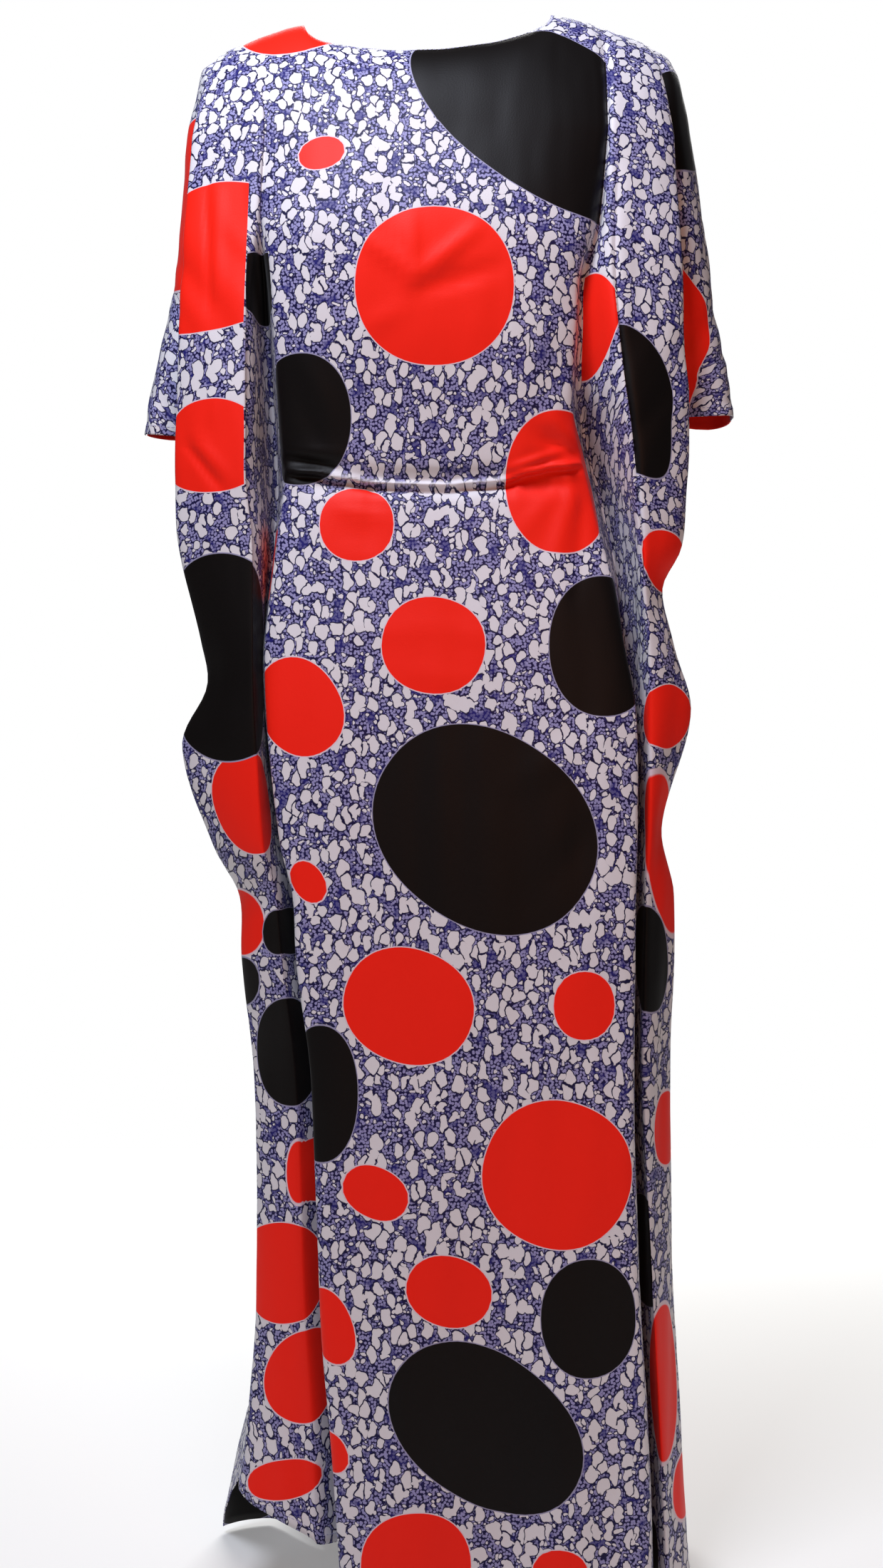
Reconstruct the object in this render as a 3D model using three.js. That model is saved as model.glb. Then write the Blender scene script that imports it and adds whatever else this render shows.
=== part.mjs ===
// A baati: a loose full-length dress of printed light cotton, cut as a front and a back panel.
// The panels are sewn along the shoulders and upper arms and down the sides. Each wide panel
// hangs as a smooth middle, a deep vertical fold beside it, and a folded wing before or behind
// the arm that closes at the hip. Neck, two sleeves and hem are open.
// Millimetres, +Z up, +X to the viewer's right, front towards -Y. The origin lies between the
// two neck points, where the shoulders of the wearer carry the dress.
import * as THREE from 'three';

const WALL = 2;
const SEAM_GAP = 0.3;
const SHOULDER_HEIGHT = 1459;

// The tables give heights above the floor. Across is measured outwards from the middle, and
// depth forwards on the front panel and backwards on the back panel.
const table = (columns, rows) => rows.map((row) =>
  Object.fromEntries(columns.map((name, i) => [name, row[i]])));

const MIDDLE = table(['height', 'front', 'back'], [
  [1330, 108, 92],
  [1240, 128, 102],
  [1150, 124, 96],
  [1062, 108, 82],
  [1024, 101, 74],
  [1010, 94, 70],
  [994, 100, 75],
  [955, 104, 84],
  [870, 113, 106],
  [775, 119, 120],
  [640, 125, 129],
  [470, 131, 144],
  [260, 142, 164],
  [125, 150, 178],
  [15, 156, 190],
]);

// One row for each section: the corner where the smooth middle turns in, the bottom of the
// deep fold, and the inner and outer folded edges of the wing.
const SECTION = ['height', 'corner', 'cornerDepth', 'deep', 'deepDepth',
  'inner', 'innerDepth', 'outer', 'outerDepth'];

const LEFT_FRONT = table(SECTION, [
  [1330, 150, 94, 158, 89, 168, 92, 226, 66],
  [1240, 154, 106, 162, 92, 172, 106, 232, 80],
  [1195, 152, 106, 161, 74, 174, 109, 234, 82],
  [1150, 149, 104, 160, 54, 175, 110, 236, 84],
  [1062, 143, 90, 155, 34, 175, 110, 240, 82],
  [1010, 141, 82, 153, 26, 175, 108, 240, 80],
  [955, 145, 86, 155, 28, 169, 106, 237, 78],
  [870, 151, 96, 159, 34, 168, 108, 218, 76],
  [830, 151, 100, 159, 37, 168, 108, 213, 74],
  [775, 148, 104, 156, 40, 166, 108, 235, 72],
  [685, 138, 109, 144, 42, 160, 102, 208, 68],
  [640, 131, 112, 130, 42, 150, 92, 184, 60],
  [580, 128, 114, 120, 40, 144, 88, 182, 58],
  [470, 116, 118, 96, 34, 132, 78, 171, 54],
  [260, 106, 128, 82, 34, 124, 80, 173, 56],
  [125, 93, 136, 70, 38, 116, 86, 182, 62],
  [15, 86, 142, 62, 42, 112, 94, 190, 68],
]);

const RIGHT_FRONT = table(SECTION, [
  [1330, 142, 94, 150, 86, 159, 92, 212, 66],
  [1240, 132, 106, 141, 90, 153, 105, 215, 80],
  [1195, 126, 106, 135, 83, 153, 108, 217, 82],
  [1150, 122, 104, 132, 74, 156, 110, 218, 84],
  [1098, 119, 97, 132, 52, 162, 110, 222, 82],
  [1062, 121, 90, 136, 36, 167, 109, 224, 80],
  [1010, 132, 82, 147, 24, 173, 106, 221, 76],
  [955, 145, 87, 159, 26, 179, 102, 217, 72],
  [918, 155, 92, 164, 28, 181, 98, 200, 66],
  [870, 163, 98, 166, 32, 186, 96, 211, 66],
  [806, 173, 104, 164, 36, 188, 92, 227, 64],
  [700, 171, 110, 158, 38, 187, 86, 201, 56],
  [640, 169, 113, 155, 38, 187, 84, 213, 54],
  [470, 167, 120, 152, 30, 186, 84, 209, 52],
  [260, 176, 130, 160, 26, 196, 88, 216, 54],
  [125, 184, 138, 168, 28, 203, 92, 224, 60],
  [15, 187, 144, 172, 30, 206, 96, 226, 64],
]);

const LEFT_BACK = table(SECTION, [
  [1330, 150, 84, 158, 72, 168, 82, 226, 62],
  [1240, 152, 96, 158, 62, 170, 94, 230, 72],
  [1150, 146, 92, 152, 46, 170, 98, 234, 76],
  [1062, 136, 76, 144, 30, 168, 96, 236, 74],
  [1010, 130, 68, 140, 22, 166, 94, 232, 72],
  [955, 136, 76, 144, 26, 164, 96, 230, 72],
  [870, 142, 92, 152, 36, 168, 100, 220, 74],
  [830, 143, 98, 152, 39, 168, 101, 214, 73],
  [775, 144, 104, 151, 42, 168, 102, 224, 70],
  [685, 140, 112, 142, 46, 165, 100, 204, 64],
  [640, 137, 116, 134, 48, 158, 94, 190, 60],
  [470, 128, 128, 108, 44, 144, 94, 174, 62],
  [260, 130, 146, 104, 48, 146, 104, 178, 72],
  [150, 134, 154, 106, 50, 150, 112, 182, 80],
  [80, 142, 160, 110, 52, 162, 116, 200, 88],
  [15, 152, 166, 114, 56, 170, 122, 214, 96],
]);

const RIGHT_BACK = table(SECTION, [
  [1330, 142, 84, 152, 72, 163, 82, 212, 62],
  [1240, 141, 96, 152, 62, 165, 94, 218, 72],
  [1150, 137, 92, 148, 48, 166, 98, 222, 76],
  [1062, 134, 78, 142, 30, 166, 96, 228, 74],
  [1010, 132, 68, 144, 24, 168, 94, 228, 72],
  [955, 138, 78, 150, 26, 172, 96, 216, 72],
  [918, 144, 85, 154, 30, 174, 98, 205, 72],
  [870, 150, 92, 157, 34, 177, 100, 212, 74],
  [775, 158, 106, 156, 42, 182, 100, 222, 68],
  [685, 158, 114, 148, 46, 180, 98, 208, 62],
  [640, 156, 118, 144, 46, 178, 96, 206, 60],
  [470, 150, 130, 134, 44, 174, 94, 204, 60],
  [260, 156, 148, 136, 48, 182, 104, 214, 70],
  [125, 164, 158, 142, 52, 192, 112, 224, 78],
  [15, 172, 166, 150, 56, 200, 118, 230, 84],
]);

// The side seam inside the wing, which above the sleeve hem is a crease on each panel.
const SIDE_LINE = table(['height', 'left', 'right', 'creaseDepth'], [
  [1330, 204, 193, 44],
  [1240, 188, 183, 52],
  [1150, 180, 176, 54],
  [1062, 175, 171, 32],
  [1024, 172, 170, 0],
  [955, 176, 174, 0],
  [870, 173, 172, 0],
  [775, 169, 172, 0],
  [640, 166, 178, 0],
  [470, 160, 180, 0],
  [260, 162, 186, 0],
  [125, 178, 192, 0],
  [15, 186, 194, 0],
]);

// The upper-arm line, where the sleeve parts of both panels are sewn together.
const ARM_LINE = table(['height', 'left', 'right'], [
  [1330, 240, 237],
  [1240, 246, 249],
  [1150, 257, 256],
  [1062, 272, 269],
  [1024, 276, 272],
]);
const ARM_ROUND = { across: 16, depth: 40 };

// Soft upright folds of the skirt: across is their place at the hem, and they run out at top.
const FOLDS = table(['panel', 'across', 'width', 'depth', 'top'], [
  ['front', -38, 34, 6, 560],
  ['front', 58, 40, -7, 620],
  ['front', 118, 30, 8, 480],
  ['back', -112, 24, 16, 1000],
  ['back', -70, 20, -14, 940],
  ['back', -26, 26, 18, 1040],
  ['back', 18, 20, -15, 900],
  ['back', 62, 26, 17, 1010],
  ['back', 106, 20, -13, 960],
]);
const FOLD_SPREAD = { waist: 0.72, hem: 1, over: 1000 };

const NECK = {
  middle: -14, halfWidth: 117, leftPoint: 1453, rightPoint: 1463,
  front: { drop: 48, depth: 60, roundness: 2.1 }, back: { drop: 20, depth: 52, roundness: 3 },
  planRoundness: 2.2,
};
const SHOULDER = { leftEnd: -222, rightEnd: 213, slope: 16, roundOff: 23 };
const YOKE = { ring: 1330, leanBack: 0.28, top: 0.12, rows: 5 };

const SLEEVE_HEM = {
  height: 1024, from: 1285, fadesTo: 915,
  left: { front: 38, arm: 44, back: 46, seam: 34 },
  right: { front: 56, arm: 58, back: 56, seam: 52 },
};
const SLEEVE_ROWS = [1330, 1285, 1240, 1195, 1150, 1105, 1062, 1024];
const LOWER_ROWS = [1010, 994, 955, 915, 870, 822, 775, 730, 685, 640, 590, 530, 470, 400,
  330, 260, 190, 125, 65, 15];

// Lowest edge at each station, above the floor. The side layers hang shorter than the middle.
const HEM_FROM = 300;
const HEM = {
  leftFront: { middle: 12, corner: 14, deep: 46, inner: 58, outer: 96, seam: 112 },
  rightFront: { middle: 12, corner: 14, deep: 22, inner: 18, outer: 20, seam: 24 },
  leftBack: { middle: 8, corner: 7, deep: 12, inner: 6, outer: 14, seam: 112 },
  rightBack: { middle: 8, corner: 8, deep: 12, inner: 9, outer: 12, seam: 24 },
};

// Steps between one station and the next, from the middle outwards.
const STEPS = {
  front: { quarter: 3, neckPoint: 4, corner: 3, deep: 3, inner: 3, outer: 4, seam: 3 },
  back: { quarter: 5, neckPoint: 5, corner: 3, deep: 3, inner: 3, outer: 4, seam: 3 },
};
const SLEEVE_STEPS = { round: 2, arm: 2 };
const SLEEVE_END_PULL = 1.6;
const QUARTER = 0.4;
const NECK_POINT = 0.74;
const TOP_EDGE_SHARE = { corner: 0.32, deep: 0.42, inner: 0.54, outer: 0.76, seam: 0.86,
  round: 0.94, arm: 1 };

const SHEETS = {
  front: { facing: -1, left: LEFT_FRONT, right: RIGHT_FRONT },
  back: { facing: 1, left: LEFT_BACK, right: RIGHT_BACK },
};
const SIDES = { left: -1, right: 1 };
const LOWER_STATIONS = ['middle', 'quarter', 'neckPoint', 'corner', 'deep', 'inner', 'outer', 'seam'];
const SLEEVE_STATIONS = [...LOWER_STATIONS, 'round', 'arm'];

const smooth = (t) => t * t * (3 - 2 * t);
const share = (value, from, to) => THREE.MathUtils.clamp((value - from) / (to - from), 0, 1);
const hermite = (a, b, slopeA, slopeB, t) => {
  const t2 = t * t;
  const t3 = t2 * t;
  return (2 * t3 - 3 * t2 + 1) * a + (t3 - 2 * t2 + t) * slopeA
    + (3 * t2 - 2 * t3) * b + (t3 - t2) * slopeB;
};

// The value of a column at a height, on a smooth curve through the rows of its table.
function at(rows, column, height) {
  const last = rows.length - 1;
  const h = THREE.MathUtils.clamp(height, rows[last].height, rows[0].height);
  let i = 0;
  while (i < last - 1 && rows[i + 1].height > h) i += 1;
  const slope = (k) => {
    const above = rows[Math.max(k - 1, 0)];
    const below = rows[Math.min(k + 1, last)];
    return (below[column] - above[column]) / (below.height - above.height);
  };
  const step = rows[i + 1].height - rows[i].height;
  return hermite(rows[i][column], rows[i + 1][column],
    slope(i) * step, slope(i + 1) * step, (h - rows[i].height) / step);
}

function foldDepth(panel, across, height) {
  const spread = THREE.MathUtils.lerp(FOLD_SPREAD.hem, FOLD_SPREAD.waist,
    share(height, 0, FOLD_SPREAD.over));
  return FOLDS.filter((fold) => fold.panel === panel).reduce((sum, fold) => {
    const away = (across - fold.across * spread) / fold.width;
    return sum + fold.depth * smooth(share(height, fold.top, 0)) * Math.exp(-away * away);
  }, 0);
}

const hemName = (panel, side) => side + panel[0].toUpperCase() + panel.slice(1);

// Where each station of a panel's half lies on the section at one height.
function station(panel, side, name, height) {
  const { facing } = SHEETS[panel];
  const rows = SHEETS[panel][side];
  const sign = SIDES[side];
  const middle = at(MIDDLE, panel, height);
  const corner = at(rows, 'corner', height);
  const cornerDepth = at(rows, 'cornerDepth', height);
  const seam = at(SIDE_LINE, side, height);
  const crease = Math.max(at(SIDE_LINE, 'creaseDepth', height), 0);
  const crown = (part) => cornerDepth + (middle - cornerDepth) * Math.sqrt(1 - part * part);
  const rise = SLEEVE_HEM[side];
  const end = height < SLEEVE_HEM.height ? SLEEVE_HEM.fadesTo : SLEEVE_HEM.from;
  const raised = smooth(share(height, end, SLEEVE_HEM.height));
  const arm = height < SLEEVE_HEM.height ? 0 : at(ARM_LINE, side, height);
  const place = {
    middle: [0, middle, 0],
    quarter: [corner * QUARTER, crown(QUARTER), 0],
    neckPoint: [corner * NECK_POINT, crown(NECK_POINT), 0],
    corner: [corner, cornerDepth, 0],
    deep: [at(rows, 'deep', height), at(rows, 'deepDepth', height), 0],
    inner: [at(rows, 'inner', height), at(rows, 'innerDepth', height), 0],
    outer: [at(rows, 'outer', height), at(rows, 'outerDepth', height), 0],
    seam: [seam, crease, raised * rise.seam],
    round: [arm - ARM_ROUND.across, ARM_ROUND.depth, raised * rise[panel]],
    arm: [arm, 0, raised * rise.arm],
  }[name];
  return new THREE.Vector3(sign * place[0], facing * place[1], height + place[2]);
}

// A panel's half at one height: its stations with one neighbour at each end, for the curve.
function halfSection(panel, side, height) {
  const otherSide = side === 'left' ? 'right' : 'left';
  const otherPanel = panel === 'front' ? 'back' : 'front';
  const hasSleeve = height >= SLEEVE_HEM.height;
  const names = hasSleeve ? SLEEVE_STATIONS : LOWER_STATIONS;
  return [
    station(panel, otherSide, 'quarter', height),
    ...names.map((name) => station(panel, side, name, height)),
    station(otherPanel, side, hasSleeve ? 'round' : 'outer', height),
  ];
}

function onCurve(points, i, t) {
  const [before, a, b, after] = points.slice(i, i + 4);
  const axis = (k) => hermite(a.getComponent(k), b.getComponent(k),
    (b.getComponent(k) - before.getComponent(k)) / 2,
    (after.getComponent(k) - a.getComponent(k)) / 2, t);
  return new THREE.Vector3(axis(0), axis(1), axis(2));
}

// The columns of a half: between which stations each lies, and how far from the first.
function columnsOf(panel) {
  const steps = { ...STEPS[panel], ...SLEEVE_STEPS };
  const columns = [{ i: 0, t: 0 }];
  SLEEVE_STATIONS.slice(1).forEach((name, i) => {
    for (let k = 1; k <= steps[name]; k += 1) columns.push({ i, t: k / steps[name] });
  });
  return columns;
}

function topEdge(panel, side, { i, t }) {
  const { facing } = SHEETS[panel];
  const sign = SIDES[side];
  const neckStations = LOWER_STATIONS.indexOf('neckPoint');
  const point = side === 'left' ? NECK.leftPoint : NECK.rightPoint;
  const level = (NECK.leftPoint + NECK.rightPoint) / 2;
  const neckEnd = NECK.middle + sign * NECK.halfWidth;
  if (i < neckStations) {
    const angle = (Math.PI / 2) * ((i + t) / neckStations);
    const out = Math.sin(angle);
    const round = (power) => Math.max(1 - out ** power, 0) ** (1 / power);
    return new THREE.Vector3(NECK.middle + sign * NECK.halfWidth * out,
      facing * NECK[panel].depth * round(NECK.planRoundness),
      THREE.MathUtils.lerp(level, point, out) - NECK[panel].drop * round(NECK[panel].roundness));
  }
  const names = SLEEVE_STATIONS.slice(neckStations);
  const shareAt = (name) => TOP_EDGE_SHARE[name] ?? 0;
  const along = THREE.MathUtils.lerp(shareAt(names[i - neckStations]),
    shareAt(names[i - neckStations + 1]), t);
  const end = SHOULDER[side + 'End'];
  return new THREE.Vector3(THREE.MathUtils.lerp(neckEnd, end, along), 0,
    point - SHOULDER.slope * along - SHOULDER.roundOff * along * along);
}

function hemHeight(panel, side, { i, t }) {
  const hem = HEM[hemName(panel, side)];
  const lowest = (name) => hem[name] ?? hem.middle;
  const next = Math.min(i + 1, LOWER_STATIONS.length - 1);
  return THREE.MathUtils.lerp(lowest(LOWER_STATIONS[i]), lowest(LOWER_STATIONS[next]), t);
}

// One half of a panel as rows of points from the top edge down; sleeve columns end early.
function halfPanel(panel, side) {
  const columns = columnsOf(panel);
  const lowerCount = columns.filter(({ i }) => i < LOWER_STATIONS.length - 1).length;
  const ring = halfSection(panel, side, YOKE.ring);
  const rows = [];
  for (let r = 0; r < YOKE.rows; r += 1) {
    const up = 1 - r / YOKE.rows;
    rows.push(columns.map((column) => {
      const low = onCurve(ring, column.i, column.t);
      const high = topEdge(panel, side, column);
      const bend = new THREE.Vector3((low.x + high.x) / 2,
        THREE.MathUtils.lerp(low.y, high.y, YOKE.leanBack),
        THREE.MathUtils.lerp(high.z, low.z, YOKE.top));
      return new THREE.QuadraticBezierCurve3(low, bend, high).getPoint(up);
    }));
  }
  [...SLEEVE_ROWS, ...LOWER_ROWS].forEach((height) => {
    const points = halfSection(panel, side, height);
    const used = height >= SLEEVE_HEM.height ? columns : columns.slice(0, lowerCount);
    rows.push(used.map((column) => {
      const point = onCurve(points, column.i, column.t);
      if (column.i < LOWER_STATIONS.indexOf('corner')) {
        const edge = smooth(share(LOWER_STATIONS.indexOf('corner') - column.i - column.t, 0, 1));
        point.y += SHEETS[panel].facing * foldDepth(panel, point.x, height) * edge;
      }
      const drop = hemHeight(panel, side, column) - LOWER_ROWS[LOWER_ROWS.length - 1];
      point.z += drop * share(height, HEM_FROM, LOWER_ROWS[LOWER_ROWS.length - 1]);
      return point;
    }));
  });
  return { rows, lowerCount };
}

// A whole panel as a grid with its outside facing out: left half, middle, right half.
function panelGrid(panel) {
  const [first, second] = panel === 'front' ? ['left', 'right'] : ['right', 'left'];
  const one = halfPanel(panel, first);
  const two = halfPanel(panel, second);
  const width = one.rows[0].length;
  const grid = one.rows.map((row, r) => {
    const missing = Array(width - row.length).fill(null);
    return [...missing, ...row.slice(1).reverse(), ...two.rows[r], ...missing];
  });
  return { grid, seamRow: YOKE.rows + SLEEVE_ROWS.length - 1, notch: width - one.lowerCount };
}

function cellsOf({ grid, seamRow, notch }) {
  const cells = [];
  for (let r = 0; r + 1 < grid.length; r += 1) {
    const from = r < seamRow ? 0 : notch;
    for (let c = from; c + 1 < grid[0].length - from; c += 1) cells.push([r, c]);
  }
  return cells;
}

const key = (r, c) => r + ',' + c;

// Outward directions. A sleeve's lowest point, where the side seam starts, takes its direction
// from the cloth above it, so that both layers of the wall leave the seam in order.
function normalsOf(sheet) {
  const normals = new Map();
  const sleeveEnds = [sheet.notch, sheet.grid[0].length - 1 - sheet.notch];
  const weight = (r, c, row, column) => {
    if (row !== sheet.seamRow || !sleeveEnds.includes(column)) return 1;
    if (r === sheet.seamRow) return 0;
    return c < sleeveEnds[0] || c >= sleeveEnds[1] ? SLEEVE_END_PULL : 1;
  };
  cellsOf(sheet).forEach(([r, c]) => {
    const corners = [[r, c], [r + 1, c], [r + 1, c + 1], [r, c + 1]];
    const [a, b, d, e] = corners.map(([row, column]) => sheet.grid[row][column]);
    const normal = d.clone().sub(a).cross(e.clone().sub(b)).normalize();
    corners.forEach(([row, column]) => {
      const sum = normals.get(key(row, column)) ?? new THREE.Vector3();
      normals.set(key(row, column), sum.addScaledVector(normal, weight(r, c, row, column)));
    });
  });
  normals.forEach((normal) => normal.normalize());
  return normals;
}

// The edge points that one panel shares with the other, with the next point inside the panel.
function seamPoints({ grid, seamRow, notch }, panel) {
  const last = grid[0].length - 1;
  const neckColumns = STEPS[panel].quarter + STEPS[panel].neckPoint;
  const middle = last / 2;
  const points = [];
  for (let c = 0; c <= last; c += 1) {
    if (Math.abs(c - middle) >= neckColumns) points.push({ r: 0, c, inside: [1, c] });
  }
  for (let r = 1; r < grid.length; r += 1) {
    const from = r <= seamRow ? 0 : notch;
    [[from, 1], [last - from, -1]].forEach(([c, step]) => points.push({ r, c, inside: [r, c + step] }));
    if (r === seamRow) {
      [[notch, 1], [last - notch, -1]].forEach(([c, step]) =>
        points.push({ r, c, inside: [r, c + step] }));
    }
  }
  return points;
}

// Both panels meet at their seams: there they share a normal and part by the seam gap.
function partAtSeams(sheets) {
  const nearest = (list, place) => list.reduce((best, item) =>
    (item.place.distanceTo(place) < best.place.distanceTo(place) ? item : best));
  const ends = Object.fromEntries(Object.entries(sheets).map(([panel, sheet]) => [panel,
    seamPoints(sheet, panel).map((point) => ({
      ...point,
      place: sheet.grid[point.r][point.c].clone(),
      inwards: sheet.grid[point.inside[0]][point.inside[1]].clone()
        .sub(sheet.grid[point.r][point.c]).normalize(),
      normal: sheet.normals.get(key(point.r, point.c)).clone(),
    }))]));
  [['front', 'back'], ['back', 'front']].forEach(([panel, other]) => {
    ends[panel].forEach((end) => {
      const mate = nearest(ends[other], end.place);
      const apart = end.inwards.clone().sub(mate.inwards).normalize();
      const normal = end.normal.clone().add(mate.normal);
      normal.addScaledVector(apart, -normal.dot(apart)).normalize();
      sheets[panel].normals.set(key(end.r, end.c), normal);
      sheets[panel].grid[end.r][end.c] = end.place.clone().addScaledVector(apart, SEAM_GAP / 2);
    });
  });
}

// The closed wall of cloth: an outer and an inner layer with a rim round every edge.
function wall(sheet) {
  const cells = cellsOf(sheet);
  const positions = [];
  const numbers = new Map();
  const vertex = (r, c, layer) => {
    const name = key(r, c) + ',' + layer;
    if (!numbers.has(name)) {
      const point = sheet.grid[r][c].clone()
        .addScaledVector(sheet.normals.get(key(r, c)), (layer * WALL) / 2);
      numbers.set(name, positions.length / 3);
      positions.push(point.x, point.y, point.z - SHOULDER_HEIGHT);
    }
    return numbers.get(name);
  };
  const index = [];
  const rim = new Map();
  cells.forEach(([r, c]) => {
    const corners = [[r, c], [r + 1, c], [r + 1, c + 1], [r, c + 1]];
    const [a, b, d, e] = corners.map(([row, column]) => vertex(row, column, 1));
    const [f, g, h, i] = corners.map(([row, column]) => vertex(row, column, -1));
    index.push(a, b, d, a, d, e, f, h, g, f, i, h);
    corners.forEach((corner, k) => {
      const next = corners[(k + 1) % 4];
      const back = key(...next) + '>' + key(...corner);
      if (rim.has(back)) rim.delete(back);
      else rim.set(key(...corner) + '>' + key(...next), [corner, next]);
    });
  });
  rim.forEach(([[r, c], [row, column]]) => {
    const [a, b] = [vertex(r, c, 1), vertex(row, column, 1)];
    const [d, e] = [vertex(r, c, -1), vertex(row, column, -1)];
    index.push(a, d, e, a, e, b);
  });
  const geometry = new THREE.BufferGeometry();
  geometry.setAttribute('position', new THREE.Float32BufferAttribute(positions, 3));
  geometry.setIndex(index);
  geometry.computeVertexNormals();
  return geometry;
}

const sheets = Object.fromEntries(Object.keys(SHEETS).map((panel) => {
  const sheet = panelGrid(panel);
  return [panel, { ...sheet, normals: normalsOf(sheet) }];
}));
partAtSeams(sheets);

const dress = new THREE.Group();
const printedCotton = { front: 0x9b9dc6, back: 0x8f91bd };
Object.entries(sheets).forEach(([panel, sheet]) => {
  const cloth = new THREE.MeshStandardMaterial({
    color: printedCotton[panel], roughness: 0.75, metalness: 0,
  });
  const mesh = new THREE.Mesh(wall(sheet), cloth);
  mesh.name = panel;
  dress.add(mesh);
});

export default dress;
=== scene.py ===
"""A baati: a loose full-length dress of printed light cotton, in the form that it has when worn."""
import math

import bmesh
import bpy
from mathutils import Matrix, Vector, noise


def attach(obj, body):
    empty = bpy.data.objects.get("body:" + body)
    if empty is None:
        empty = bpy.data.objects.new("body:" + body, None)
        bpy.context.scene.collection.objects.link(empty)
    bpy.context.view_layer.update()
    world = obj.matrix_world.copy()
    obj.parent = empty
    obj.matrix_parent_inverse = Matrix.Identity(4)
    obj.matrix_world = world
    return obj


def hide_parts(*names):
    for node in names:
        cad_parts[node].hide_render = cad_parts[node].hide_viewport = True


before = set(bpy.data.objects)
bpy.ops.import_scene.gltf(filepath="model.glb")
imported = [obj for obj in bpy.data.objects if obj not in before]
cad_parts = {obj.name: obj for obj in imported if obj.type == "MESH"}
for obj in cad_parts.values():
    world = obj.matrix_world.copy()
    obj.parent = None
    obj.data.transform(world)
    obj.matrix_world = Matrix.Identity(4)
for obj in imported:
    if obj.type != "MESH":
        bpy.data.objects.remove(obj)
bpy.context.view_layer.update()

# ---------------------------------------------------------------------------------------------
# The two panels. A baati is a front and a back panel of light plain-woven cotton, sewn together
# along the shoulders and upper arms and down the sides. Each panel hangs as a smooth middle, a
# deep upright fold beside it, and a folded wing before or behind the arm, closed at the hip.
# ---------------------------------------------------------------------------------------------

# Sizes are in millimetres. Heights are above the floor, across is measured outwards from the
# middle, and depth forwards on the front panel and backwards on the back panel.
SHOULDER_HEIGHT = 1459


def table(columns, *rows):
    names = columns.split()
    return [dict(zip(names, row)) for row in rows]


MIDDLE = table(
    "height front back",
    (1330, 108, 92), (1240, 128, 102), (1150, 124, 96), (1062, 108, 82), (1024, 101, 74),
    (1010, 94, 70), (994, 100, 75), (955, 104, 84), (870, 113, 106), (775, 119, 120),
    (640, 125, 129), (470, 131, 144), (260, 142, 164), (125, 150, 178), (15, 156, 190))

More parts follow.
